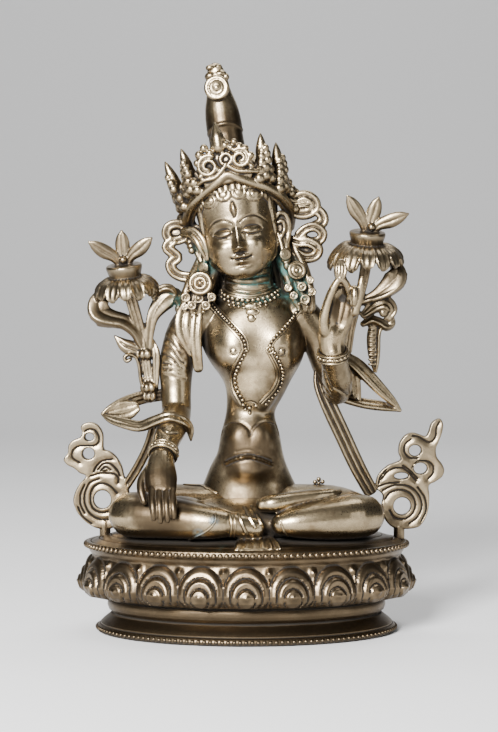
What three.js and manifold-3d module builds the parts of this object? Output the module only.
// Seated goddess of cast metal on an oval lotus throne, with a lotus spray at each shoulder and a
// scarf that ends in a pierced scroll at each knee. Millimetres, +Z up, the figure faces -Y.
// The origin is the centre of the throne's underside.
import * as THREE from "three";
import { mergeVertices } from "three/addons/utils/BufferGeometryUtils.js";
import Module from "manifold-3d";

const wasm = await Module();
wasm.setup();

// Driving sizes
const FIGURE_HEIGHT = 172; // from the seat to the top of the hair jewel
const KNEE_MARGIN = 10.4; // from each knee out to the throne's rim
const THRONE_HALF_DEPTH = 41; // middle to front of the rim
const CLEARANCE = 0.3; // gap left where two castings meet

// Throne mouldings, from the floor up
const FOOT_BAND = 2.6; // beaded edge that stands on the floor
const FOOT_FLARE = 4.2; // hollow flare up to the collar
const COLLAR = 6.4; // rounded band under the petals
const PETAL_BAND = 14.6;
const COVE = 3;
const RIM_BAND = 2.2; // beaded rim
const SEAT_RISE = 3; // the seed-head that the figure sits on

// Throne insets, inwards from the rim's edge
const FOOT_INSET = 4.6;
const WAIST_INSET = 9.6;
const LIP_INSET = 2.6;
const BULGE_INSET = 0.6;
const COVE_INSET = 3.4;
const RIM_INSET = 4;
const SEAT_INSET = 13;
const EDGE_ROUND = 0.8; // how far the beaded edges round over

// Petals of the throne
const PETAL_COUNT = 20;
const PETAL_FILL = 0.97; // how much of its pitch a petal covers
const PETAL_RELIEF = 1.3; // outer leaf over the band
const PETAL_STEP = 0.7; // each inner leaf over the one outside it

// One hundredth of the figure's height. Every place and radius on the castings is in this unit.
const U = FIGURE_HEIGHT / 100;
const KNEE_REACH = 28.8 * U;

const WAIST_Z = FOOT_BAND + FOOT_FLARE;
const LIP_Z = WAIST_Z + COLLAR;
const BAND_TOP_Z = LIP_Z + PETAL_BAND;
const RIM_LOW_Z = BAND_TOP_Z + COVE;
const RIM_Z = RIM_LOW_Z + RIM_BAND;
const SEAT_Z = RIM_Z + SEAT_RISE;
const RIM_HALF_WIDTH = KNEE_REACH + KNEE_MARGIN;

const FRONT = new THREE.Vector3(0, -1, 0);
const UP = new THREE.Vector3(0, 0, 1);
const SIDES = [-1, 1];

// Solids: forms are lists of closed geometries, and a casting is the join of its forms

function solid(geometry) {
  const bare = geometry.clone();
  bare.deleteAttribute("normal");
  bare.deleteAttribute("uv");
  const merged = mergeVertices(bare, 1e-4);
  const vertProperties = merged.attributes.position.array;
  const triVerts = new Uint32Array(merged.index.array);
  if (signedVolume(vertProperties, triVerts) < 0) triVerts.reverse();
  return new wasm.Manifold(new wasm.Mesh({ numProp: 3, vertProperties, triVerts }));
}

function signedVolume(positions, triangles) {
  const corner = (i) => new THREE.Vector3().fromArray(positions, 3 * triangles[i]);
  let sum = 0;
  for (let i = 0; i < triangles.length; i += 3)
    sum += corner(i).dot(corner(i + 1).cross(corner(i + 2)));
  return sum;
}

const join = (forms) => forms.flat(9).map(solid).reduce((all, one) => all.add(one));

function geometryOf(casting) {
  const made = casting.getMesh();
  const geometry = new THREE.BufferGeometry();
  geometry.setAttribute("position", new THREE.BufferAttribute(made.vertProperties, 3));
  geometry.setIndex(new THREE.BufferAttribute(made.triVerts, 1));
  return geometry;
}

// The casting less its neighbour, with the joint's clearance left along the given directions.
function clearOf(casting, neighbour, directions) {
  const shape = geometryOf(neighbour);
  const shifted = (along) => shape.clone().translate(...along.map((v) => v * CLEARANCE));
  return directions.reduce((left, along) => left.subtract(solid(shifted(along))), casting);
}

const ABOVE = [[0, 0, 1]];
const ALL_ROUND = [...ABOVE, [0, 0, -1], [1, 0, 0], [-1, 0, 0], [0, 1, 0], [0, -1, 0]];

function mesh(name, casting, material) {
  const geometry = geometryOf(casting);
  geometry.computeVertexNormals();
  const made = new THREE.Mesh(geometry, material);
  made.name = name;
  return made;
}

// Forms

// A form swept through stations [x, y, z, half-width, half-depth], in U. Half-depth is measured
// along facing and half-width across it.
function limb(stations, { corners = 6, facing = FRONT, between = 1 } = {}) {
  const rings = smoothStations(stations, between);
  const place = (i) => new THREE.Vector3(...rings[THREE.MathUtils.clamp(i, 0, rings.length - 1)]);
  const positions = [];
  rings.forEach(([, , , wide, deep], i) => {
    const along = place(i + 1).sub(place(i - 1)).normalize();
    const depth = facing.clone().addScaledVector(along, -facing.dot(along)).normalize();
    const width = along.cross(depth);
    for (let k = 0; k < corners; k++) {
      const turn = (2 * Math.PI * (k + 0.5)) / corners;
      const point = place(i)
        .addScaledVector(width, wide * Math.cos(turn))
        .addScaledVector(depth, (deep ?? wide) * Math.sin(turn));
      positions.push(...point.multiplyScalar(U).toArray());
    }
  });
  return tubeOf(positions, rings.length, corners);
}

// The stations, with more of them on a smooth curve through the given ones.
function smoothStations(stations, between) {
  if (between === 1) return stations;
  const curve = (pick) => new THREE.CatmullRomCurve3(stations.map((s) => new THREE.Vector3(...pick(s))));
  const path = curve((s) => s.slice(0, 3));
  const size = curve((s) => [s[3], s[4] ?? s[3], 0]);
  const count = (stations.length - 1) * between;
  return Array.from({ length: count + 1 }, (_, i) => {
    const radii = size.getPoint(i / count);
    return [...path.getPoint(i / count).toArray(), radii.x, radii.y];
  });
}

// A closed tube over rings of points, with a flat cap at each end.
function tubeOf(positions, ringCount, corners) {
  const index = [];
  for (let i = 0; i < ringCount - 1; i++)
    for (let k = 0; k < corners; k++) {
      const a = i * corners + k;
      const b = i * corners + ((k + 1) % corners);
      index.push(a, b, a + corners, b, b + corners, a + corners);
    }
  const last = (ringCount - 1) * corners;
  for (let k = 1; k < corners - 1; k++) {
    index.push(0, k + 1, k);
    index.push(last, last + k, last + k + 1);
  }
  const geometry = new THREE.BufferGeometry();
  geometry.setAttribute("position", new THREE.Float32BufferAttribute(positions, 3));
  geometry.setIndex(index);
  return geometry;
}

// An ellipsoid, in U.
function ball(centre, radii, around = 8, up = 6) {
  return new THREE.SphereGeometry(1, around, up)
    .rotateX(Math.PI / 2)
    .scale(...radii.map((r) => r * U))
    .translate(...centre.map((v) => v * U));
}

// A strap along a path in U: wide at right angles to the path and to facing, thick along facing.
function strap(path, wide, thick, facing, between = 2) {
  const stations = path.map((p) => [...p, wide * Math.SQRT1_2, thick * Math.SQRT1_2]);
  return limb(stations, { corners: 4, facing, between });
}

function bead([x, y, z], radius) {
  return new THREE.IcosahedronGeometry(radius * U).translate(x * U, y * U, z * U);
}

// A round plate that faces the front, at [x, y, z] in U.
function plate([x, y, z], radius, thick, corners = 10) {
  return new THREE.CylinderGeometry(radius * U, radius * U, thick * U, corners)
    .translate(x * U, y * U, z * U);
}

const moved = (forms, matrix) => forms.flat(9).map((form) => form.clone().applyMatrix4(matrix));

// Throne

const ovalX = (inset) => RIM_HALF_WIDTH - inset;
const ovalY = (inset) => THRONE_HALF_DEPTH - inset;

// The side of the throne as [inset, height], from the floor to the seat
const THRONE_PROFILE = [
  [FOOT_INSET + EDGE_ROUND, 0],
  [FOOT_INSET, FOOT_BAND / 2],
  [FOOT_INSET + EDGE_ROUND, FOOT_BAND],
  [(FOOT_INSET + 2 * WAIST_INSET) / 3, FOOT_BAND + FOOT_FLARE / 2],
  [WAIST_INSET, WAIST_Z],
  [WAIST_INSET - EDGE_ROUND, WAIST_Z + COLLAR / 2],
  [WAIST_INSET, LIP_Z - EDGE_ROUND],
  [LIP_INSET, LIP_Z],
  [BULGE_INSET, LIP_Z + PETAL_BAND / 3],
  [COVE_INSET - EDGE_ROUND, BAND_TOP_Z],
  [COVE_INSET, BAND_TOP_Z + COVE / 2],
  [EDGE_ROUND, RIM_LOW_Z],
  [0, RIM_LOW_Z + RIM_BAND / 2],
  [EDGE_ROUND, RIM_Z],
  [RIM_INSET, RIM_Z],
  [SEAT_INSET, SEAT_Z],
];

function insetAt(z) {
  const above = THRONE_PROFILE.findIndex(([, height]) => height > z);
  const [low, high] = [THRONE_PROFILE[above - 1], THRONE_PROFILE[above]];
  return THREE.MathUtils.mapLinear(z, low[1], high[1], low[0], high[0]);
}

function throneBody() {
  const around = 30;
  const positions = THRONE_PROFILE.flatMap(([inset, z]) =>
    Array.from({ length: around }, (_, k) => {
      const turn = (2 * Math.PI * k) / around;
      return [ovalX(inset) * Math.cos(turn), ovalY(inset) * Math.sin(turn), z];
    }).flat(),
  );
  return tubeOf(positions, THRONE_PROFILE.length, around);
}

// A petal's leaves as [share of its radius, steps up], each inside the one before, round a boss
const PETAL_LEAVES = [[1, 0], [0.7, 0], [0.62, 1], [0.34, 1], [0.24, 2]];

// Petals wrapped on the band.
function petals() {
  const rim = new THREE.EllipseCurve(0, 0, ovalX(0), ovalY(0), -Math.PI / 2, 1.5 * Math.PI);
  const pitch = rim.getLength() / PETAL_COUNT;
  const radius = (PETAL_FILL * pitch) / 2;
  const centreZ = BAND_TOP_Z - radius;
  const arc = 4;
  const bossShare = PETAL_LEAVES.at(-1)[0];
  // Round above, straight below and cut off at the lip, but a boss is round all over
  const outline = (share) => {
    const r = radius * share;
    const low = share === bossShare ? -r : LIP_Z - centreZ;
    const round = Array.from({ length: arc + 1 }, (_, k) => (Math.PI * k) / arc);
    return [[r, low], ...round.map((turn) => [r * Math.cos(turn), r * Math.sin(turn)]), [-r, low]];
  };
  const onRim = (along, z, height) => {
    const share = (along / rim.getLength() + 1) % 1;
    const point = rim.getPointAt(share);
    const out = new THREE.Vector2(point.x / ovalX(0) ** 2, point.y / ovalY(0) ** 2).normalize();
    point.addScaledVector(out, height - insetAt(z));
    return [point.x, point.y, z];
  };
  const leaves = PETAL_LEAVES.map(([share, steps]) => [share, PETAL_RELIEF + steps * PETAL_STEP]);
  return Array.from({ length: PETAL_COUNT }, (_, i) => {
    const rings = [[1, -PETAL_RELIEF], ...leaves].map(([share, height]) =>
      outline(share).map(([across, up]) => onRim(i * pitch + across, centreZ + up, height)),
    );
    return tubeOf(rings.flat(2), rings.length, arc + 3);
  });
}

const lotusThrone = () => join([throneBody(), petals()]);

// Figure: trunk, from the seat up

const TRUNK = [
  [0.6, 4.7, 0.2, 11.6, 9.3],
  [0.6, 4.7, 5.8, 11.6, 9],
  [0.6, 3.5, 11.6, 9.3, 7.3],
  [0.8, 1.7, 16.3, 7.3, 6.1],
  [0.8, 1.6, 21, 6.3, 5.1],
  [0.9, 2.3, 26.2, 5.2, 4.2],
  [1.9, 2.3, 32, 7.2, 5.1],
  [2, 1.7, 37.8, 10.5, 6.3],
  [1.5, 1.7, 43.6, 11.9, 6.1],
  [1.2, 1.7, 47.7, 11.3, 4.9],
  [0.7, 1.5, 50.8, 7, 4.5],
  [0.5, 0.6, 53, 5.1, 4.7],
  [0.3, 0, 58, 4.9, 4.7],
];
const BREASTS = [[-2.6, -3.2, 38.6], [7.6, -3.2, 38.9]];
const BREAST_RADIUS = 4.1;

// The place on the trunk's front at [x, z], standing out by a little.
function onTrunk([x, z], out = 0.3) {
  const above = THREE.MathUtils.clamp(TRUNK.findIndex((s) => s[2] > z), 1, TRUNK.length - 1);
  const [low, high] = [TRUNK[above - 1], TRUNK[above]];
  const share = (z - low[2]) / (high[2] - low[2]);
  const [cx, cy, , wide, deep] = low.map((v, i) => THREE.MathUtils.lerp(v, high[i], share));
  let y = cy - deep * Math.sqrt(Math.max(0, 1 - ((x - cx) / wide) ** 2));
  for (const [bx, by, bz] of BREASTS) {
    const inside = BREAST_RADIUS ** 2 - (x - bx) ** 2 - (z - bz) ** 2;
    if (inside > 0) y = Math.min(y, by - Math.sqrt(inside) * 0.83);
  }
  return [x, y - out, z];
}

function trunk() {
  return [
    limb(TRUNK, { corners: 10 }),
    BREASTS.map((centre) => ball(centre, [BREAST_RADIUS, BREAST_RADIUS * 0.83, BREAST_RADIUS])),
    // Folds of the belly over and under the belt's line
    ball([-2.2, -1.6, 20.4], [3.2, 2.4, 2.5], 6, 4),
    ball([4, -1.6, 20.6], [3.2, 2.4, 2.5], 6, 4),
    ball([0.8, -2.2, 13.4], [5.4, 3, 2.7], 8, 4),
  ];
}

function necklaces() {
  const cord = (places) => limb(places.map((p) => [...onTrunk(p), 0.6]), { corners: 3 });
  const choker = [[-6, 52], [-3, 50.2], [4, 50.2], [7.2, 52]];
  const right = [[-8.6, 49.8], [-0.9, 41.4], [-2.5, 34.4], [-2.4, 31], [-0.7, 27.6]];
  const left = [[11.6, 47.6], [5.4, 40.9], [7, 34.6], [6.3, 31], [3.3, 27.6]];
  const drops = [[0.7, 47.8], [1.2, 27]];
  return [
    [choker, right, left].map(cord),
    drops.map((place) => bead(onTrunk(place, 0), 1)),
  ];
}

// Figure: legs crossed on the seat

function legs() {
  const thigh = (side) => [
    [side * 7, 4, 5, 8, 5],
    [side * 18.2, -1, 5.2, 6.4, 5.6],
    [side * 24.2, -6.5, 4.7, 5.4, 4.7],
    [side * 27.2, -8.6, 4.4, 3.4, 3.2],
    [side * 28.8, -9.6, 4.2, 1, 1],
  ];
  const rightShin = [
    [-28.4, -9.4, 4.3, 1.6, 1.6],
    [-26, -10.6, 4.5, 3.6, 3.7],
    [-21.5, -12.4, 4.5, 4.5, 4.3],
    [-14, -15.4, 4.3, 4.2, 3.9],
    [-8, -17.2, 3.8, 3.2, 3.1],
    [-2, -17.6, 3.3, 2.4, 2.6],
    [2, -17.2, 2.6, 2, 2.2],
  ];
  const leftShin = [
    [28.4, -9.4, 4.3, 1.6, 1.6],
    [26.2, -10.8, 4.4, 3.6, 3.8],
    [21, -13, 4.4, 4.6, 4.4],
    [15, -15, 4.2, 4.3, 4],
    [10, -16.4, 3.8, 3.2, 3],
    [6.6, -17, 3.4, 2, 1.9],
  ];
  // The right foot lies sole up on the left thigh
  const foot = [
    [3.6, -15.4, 7.3, 1.3, 1.3],
    [5, -15.4, 7.4, 2.2, 2],
    [9, -14.8, 8.1, 2, 1.8],
    [14, -13.4, 8.9, 2.1, 1.5],
    [18.4, -11.6, 9.4, 1.7, 1.1],
  ];
  const hem = [[1.8, -13, 2.6, 4, 1.6], [2.2, -18.6, 0.9, 5.4, 0.9], [2.4, -21.8, -0.6, 6.6, 0.5]];
  const hemFolds = [-4, 0, 4].map((x) => [[2 + x * 0.6, -16, 2.2, 0.6], [2.4 + x, -21.6, -0.1, 0.7]]);
  return [
    SIDES.map((side) => limb(thigh(side), { facing: UP })),
    [rightShin, leftShin, foot, hem].map((stations) => limb(stations, { facing: UP })),
    hemFolds.map((stations) => limb(stations, { corners: 4, facing: UP })),
    ball([0.8, -5, 3], [20, 11, 4.6], 12, 4),
  ];
}

// Figure: arms and hands

const RIGHT_ELBOW = [-15, -0.6, 25.6, 3.1];
const RIGHT_WRIST = [-17.4, -12, 17.2, 2.5];
const LEFT_ELBOW = [19.5, -0.8, 30.4, 3];
const LEFT_WRIST = [18.1, -9.8, 38.4, 2.5];

const finger = (stations) => limb(stations, { corners: 4 });

// A ring of cloth or metal round an arm at a station, tapering away above and below.
function cuff([x, y, z, radius], tall) {
  const along = [-tall / 2, 0, tall / 2];
  return limb(along.map((dz) => [x, y, z + dz, radius + (dz === 0 ? 0.7 : 0)]), { corners: 6 });
}

function rightArm() {
  const sleeve = [
    [-9.6, 1.7, 47, 4.2],
    [-13, 1.7, 43.2, 4],
    [-15, 1.2, 36.6, 3.7],
    [-15.2, 0.6, 30.6, 3.3],
    RIGHT_ELBOW,
    [-14.9, -1.6, 23.8, 2.2],
  ];
  const forearm = [
    [-15, 0.4, 25.6, 2.6],
    RIGHT_ELBOW,
    [-15.5, -4.2, 23.3, 3.1],
    [-16.7, -8.2, 20.3, 3],
    RIGHT_WRIST,
  ];
  const palm = [
    RIGHT_WRIST,
    [-17.6, -14.2, 15.2, 3, 2.2],
    [-17.6, -16.4, 12.6, 3.5, 1.8],
    [-17, -18.2, 10.2, 3, 1.4],
  ];
  const fingers = [-18.7, -17.5, -16.3, -15.2].map((x, i) => [
    [x + 0.1, -18, 10.6, 0.85],
    [x + 0.4, -20.4, 8.2, 0.8],
    [x + 0.5 - 0.1 * i, -21.2, 6 + 0.35 * Math.abs(i - 1), 0.5],
  ]);
  const thumb = [
    [-19.6, -14.6, 14.4, 1.2],
    [-21, -16.6, 11.8, 1.1],
    [-20.4, -18, 9.2, 0.9],
    [-19.8, -18.4, 8, 0.5],
  ];
  const bracelet = [[-17.1, -11.2, 17.9, 3.1], [-17.5, -12.4, 16.8, 3.1]];
  return [
    limb(sleeve),
    [forearm, bracelet].map((stations) => limb(stations, { facing: UP })),
    limb(palm),
    [...fingers, thumb].map(finger),
    cuff([-15.1, 1.2, 35, 3.6], 2.4),
  ];
}

function leftArm() {
  const sleeve = [[11.4, 1.7, 47, 4.2], [15.2, 2.4, 42.6, 3.8], [17.6, 2.6, 36, 3.4], LEFT_ELBOW];
  const forearm = [
    [19.6, 1, 29.8, 2.2],
    LEFT_ELBOW,
    [19.2, -4.6, 33, 3.1],
    [18.6, -7.6, 36, 2.9],
    LEFT_WRIST,
  ];
  const palm = [
    LEFT_WRIST,
    [18.3, -10.9, 41.2, 2.5, 1.9],
    [18.9, -12, 44.6, 3.6, 1.7],
    [19.3, -12.8, 48.2, 3.7, 1.5],
    [19.4, -13, 49.8, 3, 1.2],
  ];
  // Thumb and first finger close in a ring, and three fingers stand up
  const fingers = [
    [[16.2, -12.6, 44, 1.2], [15.9, -13.8, 47.6, 1.1], [17.6, -15, 51.4, 0.95], [18.4, -15, 53, 0.9]],
    [[17.4, -13, 48.6, 1], [17.2, -13.6, 52.6, 1], [18.2, -14.6, 55, 1], [18.9, -15.2, 53.6, 0.9]],
    [[19.4, -13, 48.6, 1], [20.6, -13.4, 51.6, 0.9], [21.8, -15, 51, 0.8], [22, -15.4, 48.8, 0.6]],
    [[22, -12.4, 46.6, 0.95], [23.2, -12.8, 49.4, 0.9], [23.7, -12.8, 53, 0.6]],
  ];
  const bracelet = [[18.2, -9, 37.6, 3.2], [18, -10.1, 38.8, 3.2]];
  return [
    limb(sleeve),
    [forearm, bracelet].map((stations) => limb(stations, { facing: UP })),
    limb(palm),
    fingers.map(finger),
    cuff([16, 2.5, 40.6, 3.7], 1.6),
  ];
}

// Figure: head, in a frame of its own, upright and facing the front, with the neck's top at the origin

const NECK_TOP = [0.5, 0, 53.5];
const HEAD_TILT = THREE.MathUtils.degToRad(9); // towards the figure's right shoulder
const HEAD_TURN = THREE.MathUtils.degToRad(5); // towards the figure's right

function onNeck(forms) {
  const matrix = new THREE.Matrix4()
    .makeTranslation(...NECK_TOP.map((v) => v * U))
    .multiply(new THREE.Matrix4().makeRotationY(-HEAD_TILT))
    .multiply(new THREE.Matrix4().makeRotationZ(-HEAD_TURN));
  return moved(forms, matrix);
}

function face() {
  const skull = [
    [0, -5.8, 0.8, 1.6, 1.7],
    [0, -4.2, 2, 4, 4.2],
    [0, -2.6, 4.8, 6.4, 6.4],
    [0, -1.2, 9.4, 7.7, 8.3],
    [0, -0.6, 14, 8.2, 9.2],
    [0, -0.4, 18.6, 9, 9.5],
    [0, -0.2, 23, 8.4, 8.5],
    [0, 0, 27, 5.4, 5.4],
  ];
  const nose = [[0, -9.2, 11.8, 0.6, 0.8], [0, -10.2, 8.2, 1.1, 1.2], [0, -9.2, 6.6, 1.5, 0.9]];
  const eyeLid = (side) => ball([side * 3.1, -8.3, 10.5], [1.8, 1, 0.8], 8, 4);
  const brow = (side) => [
    [side * 0.8, -9.2, 11.8, 0.5],
    [side * 3, -8.6, 13, 0.6],
    [side * 5.4, -7, 12, 0.5],
  ];
  return [
    limb(skull, { corners: 10 }),
    limb(nose, { corners: 5 }),
    ball([0, -7.9, 4.7], [1.8, 1.2, 0.8], 6, 4),
    SIDES.map(eyeLid),
    SIDES.map((side) => limb(brow(side), { corners: 3 })),
  ];
}

function ears() {
  const ear = (side) => [
    [side * 8, -0.6, 14, 0.9, 1.6],
    [side * 8.7, -1.2, 11, 1.2, 2],
    [side * 8.6, -1.6, 7, 0.9, 1.3],
    [side * 8.4, -2, 3.6, 1.1, 1.6],
    [side * 8.2, -2.2, 1.6, 0.7, 0.9],
  ];
  return SIDES.map((side) => limb(ear(side), { corners: 6 }));
}

// Hair drawn up into a tall column, with a medallion in front and a jewel on top
function topknot() {
  const column = [
    [0, 0, 26, 4.6, 4.6],
    [0, 0.6, 29, 3.9, 3.8],
    [0, 0.6, 38, 3.5, 3.4],
    [0, 0.4, 41, 2.8, 2.8],
    [0, 0.2, 44.6, 2.4, 2.3],
    [0, 0.2, 46.8, 1.6, 1.6],
  ];
  return [
    limb(column),
    plate([0, -2, 42], 3, 2.8, 10),
    plate([0, -3.6, 42], 1.6, 0.8, 8),
    ball([0.4, -0.4, 46], [2.5, 2.2, 1.3], 8, 4),
  ];
}

const CROWN_RADIUS = 11;
const CROWN_FRONT = 21.2; // height of the band over the forehead
const CROWN_DROP = 7; // how much lower it runs at the sides

// A place on the crown's band, at degrees round from the front.
function onBand(degrees, out = 0, up = 0) {
  const turn = THREE.MathUtils.degToRad(degrees);
  const radius = CROWN_RADIUS + out;
  const height = CROWN_FRONT + up - CROWN_DROP * (1 - Math.cos(turn));
  return [radius * Math.sin(turn), -radius * Math.cos(turn) + 0.8, height];
}

// Beads heaped to a bud, as steps [share of the height, share of the width]
const HEAP = [[0, 0.6], [0.3, 0.6], [0.44, 0.46], [0.52, 0.3], [0.78, 0.2], [1, 0.03]];

function crownLeaf(degrees, wide, tall, lean) {
  const turn = THREE.MathUtils.degToRad(degrees);
  const facing = new THREE.Vector3(Math.sin(turn), -Math.cos(turn), 0);
  const stations = HEAP.map(([height, width]) => [
    ...onBand(degrees, lean * height, tall * height),
    wide * width,
    Math.min(1.5, wide * width),
  ]);
  return limb(stations, { corners: 4, facing });
}

// Degrees round from the front, width, height and outward lean of each leaf
const CROWN_LEAVES = [
  [0, 8.4, 11.4, 1],
  [-42, 6.4, 10.4, 2.4],
  [42, 6.4, 10.4, 2.4],
  [-70, 6, 12.4, 3.6],
  [66, 6, 11.6, 0.6],
];

function crown() {
  const stops = [-104, -76, -48, -22, 0, 22, 48, 76, 104];
  const band = stops.map((degrees) => [...onBand(degrees, 0, degrees === 0 ? 1.6 : 0.4), 0.9, 1.7]);
  const curls = [[-3.6, 24.6], [3.6, 25]];
  const frontBeads = [[-3.6, 28], [3.8, 28.2]];
  return [
    limb(band, { corners: 4, facing: UP }),
    CROWN_LEAVES.map((leaf) => crownLeaf(...leaf)),
    SIDES.map((side) => bead(onBand(side * 92, 1, 1.4), 2.4)),
    curls.map(([x, z]) => plate([x, -CROWN_RADIUS - 0.2, z], 2.2, 1.8, 6)),
    frontBeads.map(([x, z]) => bead([x, -CROWN_RADIUS + 0.2, z], 1.5)),
  ];
}

// Ribbons tied behind the ears: a bow's loop, then a tail in waves
function ribbons() {
  const loop = (cx, cz, wide, tall, start) => {
    const turns = Array.from({ length: 9 }, (_, i) => start + (i / 8) * 1.7 * Math.PI);
    return strap(turns.map((t) => [cx + wide * Math.cos(t), 0, cz + tall * Math.sin(t)]), 0.9, 2, FRONT, 1);
  };
  const rightTail = [
    [-14.6, 0.2, 63],
    [-17, 0, 61.4],
    [-14.4, 0, 58.8],
    [-16.2, 0, 56.4],
    [-13.6, 0, 54.4],
    [-10.4, 0, 54],
  ];
  const leftTail = [
    [14.2, 0.2, 70],
    [16.8, 0, 67.6],
    [14.4, 0, 65],
    [12.2, 0, 62.8],
    [15.6, 0, 61],
    [12.6, 0, 59.8],
    [9.4, 0, 61],
  ];
  return [
    loop(-14.6, 64.6, 2.7, 1.7, 0.15 * Math.PI),
    strap([[-12, 0.4, 64.6], [-8, 0.4, 63.6]], 1.8, 1.6, FRONT, 1),
    strap(rightTail, 1.8, 2, FRONT),
    loop(12.4, 70.8, 2.6, 1.8, -0.85 * Math.PI),
    strap([[10.6, 0.4, 70.4], [6.6, 0.4, 69]], 1.8, 1.6, FRONT, 1),
    strap(leftTail, 1.8, 2, FRONT),
  ];
}

// Rosettes and locks of hair over the shoulders
function shoulderTrim() {
  const rightLock = [
    [-8.6, 0, 58, 2.2],
    [-10.2, -0.6, 53.4, 2.6],
    [-11.4, -1.4, 49.6, 3.2, 2.6],
    [-12, -1.2, 46, 2.6, 2.2],
  ];
  const leftLock = [
    [8.8, 0.6, 60, 2],
    [10.4, 0, 55.4, 2.4],
    [11.6, -1, 51, 3, 2.6],
    [13, -1, 47, 2.6, 2.2],
  ];
  // The scarf down the inner side of the right arm
  const innerScarf = [
    [-11.6, -2, 47.6, 1.9, 1.6],
    [-11.9, -2.8, 41, 1.8, 1.4],
    [-11.8, -2.8, 34.6, 1.6, 1.2],
    [-12.4, -1.6, 30, 0.9],
  ];
  const rosette = (centre, radius) => [plate(centre, radius, 4, 8), plate(centre, radius * 0.5, 5, 6)];
  const beads = [[-12.2, 49.8], [-9, 49.6], [10.4, 51.8], [13.2, 50.8]];
  return [
    rosette([-9.9, -2.6, 53.6], 2.6),
    rosette([10.8, -2.6, 56], 2.4),
    beads.map(([x, z]) => bead([x, -3.6, z], 1.5)),
    [rightLock, leftLock, innerScarf].map((stations) => limb(stations)),
  ];
}

// The scarf where it stands out from each arm in a pointed loop
function scarfLoops() {
  const front = [[-13.4, -5.4, 21], [-17, -8, 23], [-22.6, -5.6, 22.6], [-27, -3.6, 23.6], [-31, -2, 25.2]];
  const back = [
    [-30.6, -2, 25.2],
    [-27, -0.4, 27.2],
    [-23, 0.8, 28.2],
    [-18.6, 1.6, 29.4],
    [-14.6, 1.4, 30],
  ];
  const outer = [[19.4, 1, 36.6], [24, 1.4, 35.6], [29, 1.8, 30.6], [33.4, 2, 26]];
  const inner = [[33.4, 2, 26], [28, 2.2, 26.6], [23, 1.6, 27.6], [19.8, 0, 29]];
  return [front, back, outer, inner].map((path) => strap(path, 0.9, 2, UP));
}

function taraFigure() {
  const head = onNeck([face(), ears(), topknot(), crown()]);
  const body = [trunk(), legs(), rightArm(), leftArm()];
  return join([body, head, necklaces(), ribbons(), shoulderTrim(), scarfLoops()]);
}

// Lotus sprays

// A flower round +Z: seed-head, falling petals and blades whose tips are given.
function lotusFlower(bladeTips) {
  const pod = [[0, 0, -2.6, 1.3], [0, 0, -0.6, 3.4], [0, 0, 1.4, 4.2], [0, 0, 4, 4.1], [0, 0, 4.7, 3.5]];
  const blade = ([x, y, z]) => [
    [0, 0, 4.4, 0.8, 0.5],
    [x * 0.55, y * 0.55, 4.6 + (z - 4.4) * 0.5, 1.2, 0.5],
    [x, y, z, 0.2, 0.2],
  ];
  const petalCount = 6;
  const fallingPetal = (i) => {
    const turn = (2 * Math.PI * (i + 0.25)) / petalCount;
    const facing = new THREE.Vector3(Math.cos(turn), Math.sin(turn), 0);
    const at = (radius, z) => [radius * facing.x, radius * facing.y, z];
    const stations = [[...at(3, 1.2), 1.6, 0.7], [...at(5, -0.6), 2.5, 0.8], [...at(6.1, -2.6), 1.5, 0.6]];
    return limb(stations, { corners: 4, facing });
  };
  return [
    limb(pod, { corners: 8 }),
    Array.from({ length: petalCount }, (_, i) => fallingPetal(i)),
    bladeTips.map((tip) => limb(blade(tip), { corners: 4 })),
  ];
}

function leaning(forms, forward, aside, [x, y, z]) {
  const matrix = new THREE.Matrix4()
    .makeTranslation(x * U, y * U, z * U)
    .multiply(new THREE.Matrix4().makeRotationY(THREE.MathUtils.degToRad(aside)))
    .multiply(new THREE.Matrix4().makeRotationX(THREE.MathUtils.degToRad(forward)));
  return moved(forms, matrix);
}

const LEAF_FACING = new THREE.Vector3(0.2, -0.5, 0.8);

function rightLotus() {
  const flower = lotusFlower([[-6.4, -1.4, 8.2], [0.4, 0, 9.6], [6.4, -0.6, 8]]);
  const stem = [
    [-25, -1, 51.4, 1.2],
    [-23.5, -0.4, 46, 1.2],
    [-22.4, 0, 41.2, 1.1],
    [-21.6, 0.4, 35, 1.1],
    [-21, 0.6, 31.6, 1.1],
    [-20.9, 0.6, 30.6, 1.7, 1.5],
    [-20.9, 0.6, 29.2, 1.7, 1.5],
  ];
  const outerLeaf = [
    [-22.4, -0.2, 40.6],
    [-23.6, -0.4, 44.4],
    [-27, -0.8, 45.4],
    [-30.4, -1, 45.4],
    [-32.2, -1, 48],
    [-30, -0.4, 50.2],
  ];
  const innerLeaf = [
    [-21.6, 0, 39],
    [-20.9, 0, 45],
    [-19.2, -0.4, 48.8],
    [-16.6, -0.8, 50],
    [-15.2, -0.6, 48.6],
  ];
  const tendril = [[-21.6, 0.2, 31.6], [-22.8, 0, 35.6], [-24, -0.4, 38.4], [-26.4, -0.6, 37.6]];
  const bud = [[-23.8, 0, 38.6, 0.5], [-25.6, 0, 40, 1.1, 0.7], [-28.2, 0, 41.9, 0.3]];
  return [
    leaning(flower, 14, -6, [-25.8, -1.6, 53.4]),
    limb(stem, { corners: 6 }),
    strap(outerLeaf, 3.4, 1.6, LEAF_FACING),
    strap(innerLeaf, 3, 1.8, LEAF_FACING),
    strap(tendril, 0.8, 1.6, FRONT),
    limb(bud, { corners: 5 }),
  ];
}

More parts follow.
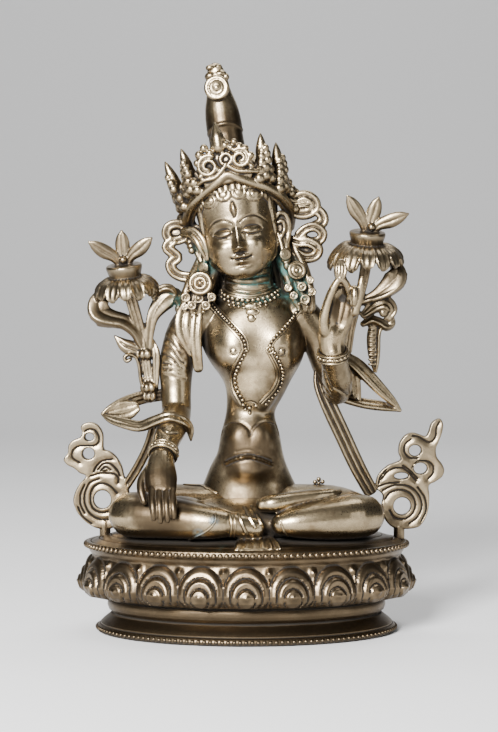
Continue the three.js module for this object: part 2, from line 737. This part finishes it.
function leftLotus() {
  const flower = lotusFlower([[-4.6, 0, 11.4], [1.6, 0, 11.4], [7.6, -0.6, 8.2]]);
  const stem = [
    [25.6, -2, 57.6, 1.3],
    [25, -2, 52, 1.3],
    [24.2, -1.6, 45, 1.2],
    [23.4, 0, 39.6, 1.2],
    [23, 1.2, 36.2, 1.2],
  ];
  const upperLeaf = [
    [25, -1.6, 48],
    [28.6, -1, 50.6],
    [32.2, -1, 52.6],
    [33.2, -1, 55.6],
    [31.4, -0.6, 57.4],
  ];
  const lowerLeaf = [
    [24.6, -1.2, 46],
    [28, -1, 49],
    [31.4, -0.8, 48.2],
    [31.2, -0.6, 44.6],
    [28.4, -0.2, 43.8],
  ];
  const tendril = [[30, 0, 44], [28.9, 0.4, 39.4], [27.4, 0.8, 35.6]];
  const bud = [[24.6, -1.2, 48, 1], [20.6, -2, 53, 1.4], [18.8, -2.4, 56.4, 1.9], [19, -2.4, 58.4, 1]];
  return [
    leaning(flower, 16, 3, [25.8, -2.4, 60.4]),
    limb(stem, { corners: 6 }),
    strap(upperLeaf, 3.6, 2, LEAF_FACING),
    strap(lowerLeaf, 2, 1.8, FRONT),
    strap(tendril, 1.4, 0.9, FRONT),
    limb(bud, { corners: 6 }),
  ];
}

// Scarf ends: a strap from the arm, then pierced scrolls beside the knee

const SCROLL_Y = 1.4;
const SCROLL_THICK = 2;

// Discs [x, z, radius, hole radius] in one plane, each pierced after all are joined.
function scroll(discs, points) {
  const discAt = ([x, z], radius, thick) => plate([x, SCROLL_Y, z], radius, thick);
  const whole = join([discs.map((d) => discAt(d, d[2], SCROLL_THICK)), points]);
  const holes = discs.filter((d) => d[3]).map((d) => discAt(d, d[3], 3 * SCROLL_THICK));
  return whole.subtract(join(holes));
}

// A pointed or curling tip of a scroll, tapering along its path.
function scrollTip(path, from, to) {
  const stations = path.map(([x, z], i) => {
    const wide = THREE.MathUtils.lerp(from, to, i / (path.length - 1));
    return [x, SCROLL_Y, z, wide, (SCROLL_THICK / 2) * Math.SQRT2];
  });
  return limb(stations, { corners: 4 });
}

// A peg from the scroll down to the throne's rim.
function footPeg(x, z) {
  const inRim = -(SEAT_RISE + RIM_BAND / 2) / U;
  return limb([[x, SCROLL_Y, z, 1.3], [x, SCROLL_Y, inRim, 1.2]], { corners: 6 });
}

function leftScarfEnd() {
  const discs = [[33.3, 5.5, 5.9, 2.1], [32.2, 10.4, 4.4, 0], [37.7, 13.6, 3.3, 1.4], [35.9, 17.4, 3.4, 1.4]];
  const tips = [
    scrollTip([[34, 9.4], [29, 10], [25.2, 8.6]], 3, 1.2),
    scrollTip([[39, 13.2], [42.4, 13.2]], 3.4, 0.6),
    scrollTip([[37.6, 19], [39.2, 19.4], [40.2, 22], [41.6, 24.4]], 1.6, 1.4),
    footPeg(33, 1),
  ];
  const band = [[16.6, 0.4, 30], [20.4, 1, 21.6], [23.6, 1.2, 14.6], [26.4, 1.4, 8.6]];
  return scroll(discs, [tips, strap(band, 3.2, 1.8, FRONT)]);
}

function rightScarfEnd() {
  const discs = [[-31.4, 6.8, 5.9, 2.2], [-30.2, 13, 4.2, 0], [-34.2, 16.5, 3.9, 1.3], [-33.7, 20.6, 3, 1]];
  const tips = [
    scrollTip([[-30, 15], [-27.4, 12.4], [-25.6, 9.6]], 3, 1),
    scrollTip([[-35, 16.4], [-39.4, 16]], 4, 0.7),
    footPeg(-30.6, 2),
  ];
  const band = [[-19.6, -2.4, 22.4], [-22, -0.6, 17.6], [-24.6, 0.8, 12.4], [-26.4, 1.2, 8.8]];
  return scroll(discs, [tips, strap(band, 2.2, 1.8, FRONT)]);
}

// Castings

const onSeat = (casting) => solid(geometryOf(casting).translate(0, 0, SEAT_Z));
const metal = (color, roughness) => new THREE.MeshStandardMaterial({ color, roughness, metalness: 1 });

const throne = lotusThrone();
const figure = clearOf(onSeat(taraFigure()), throne, ABOVE);
const fitted = (casting) => clearOf(clearOf(onSeat(casting), throne, ABOVE), figure, ALL_ROUND);

const bodyMetal = metal(0xa89d88, 0.35);
const throneMetal = metal(0x8f7f68, 0.42);
const sprayMetal = metal(0x9a8c76, 0.4);

const tara = new THREE.Group();
tara.name = "tara";
tara.add(mesh("lotus_throne", throne, throneMetal));
tara.add(mesh("tara_figure", figure, bodyMetal));
tara.add(mesh("right_lotus", fitted(join(rightLotus())), sprayMetal));
tara.add(mesh("left_lotus", fitted(join(leftLotus())), sprayMetal));
tara.add(mesh("right_scarf_end", fitted(rightScarfEnd()), sprayMetal));
tara.add(mesh("left_scarf_end", fitted(leftScarfEnd()), sprayMetal));

export default tara;
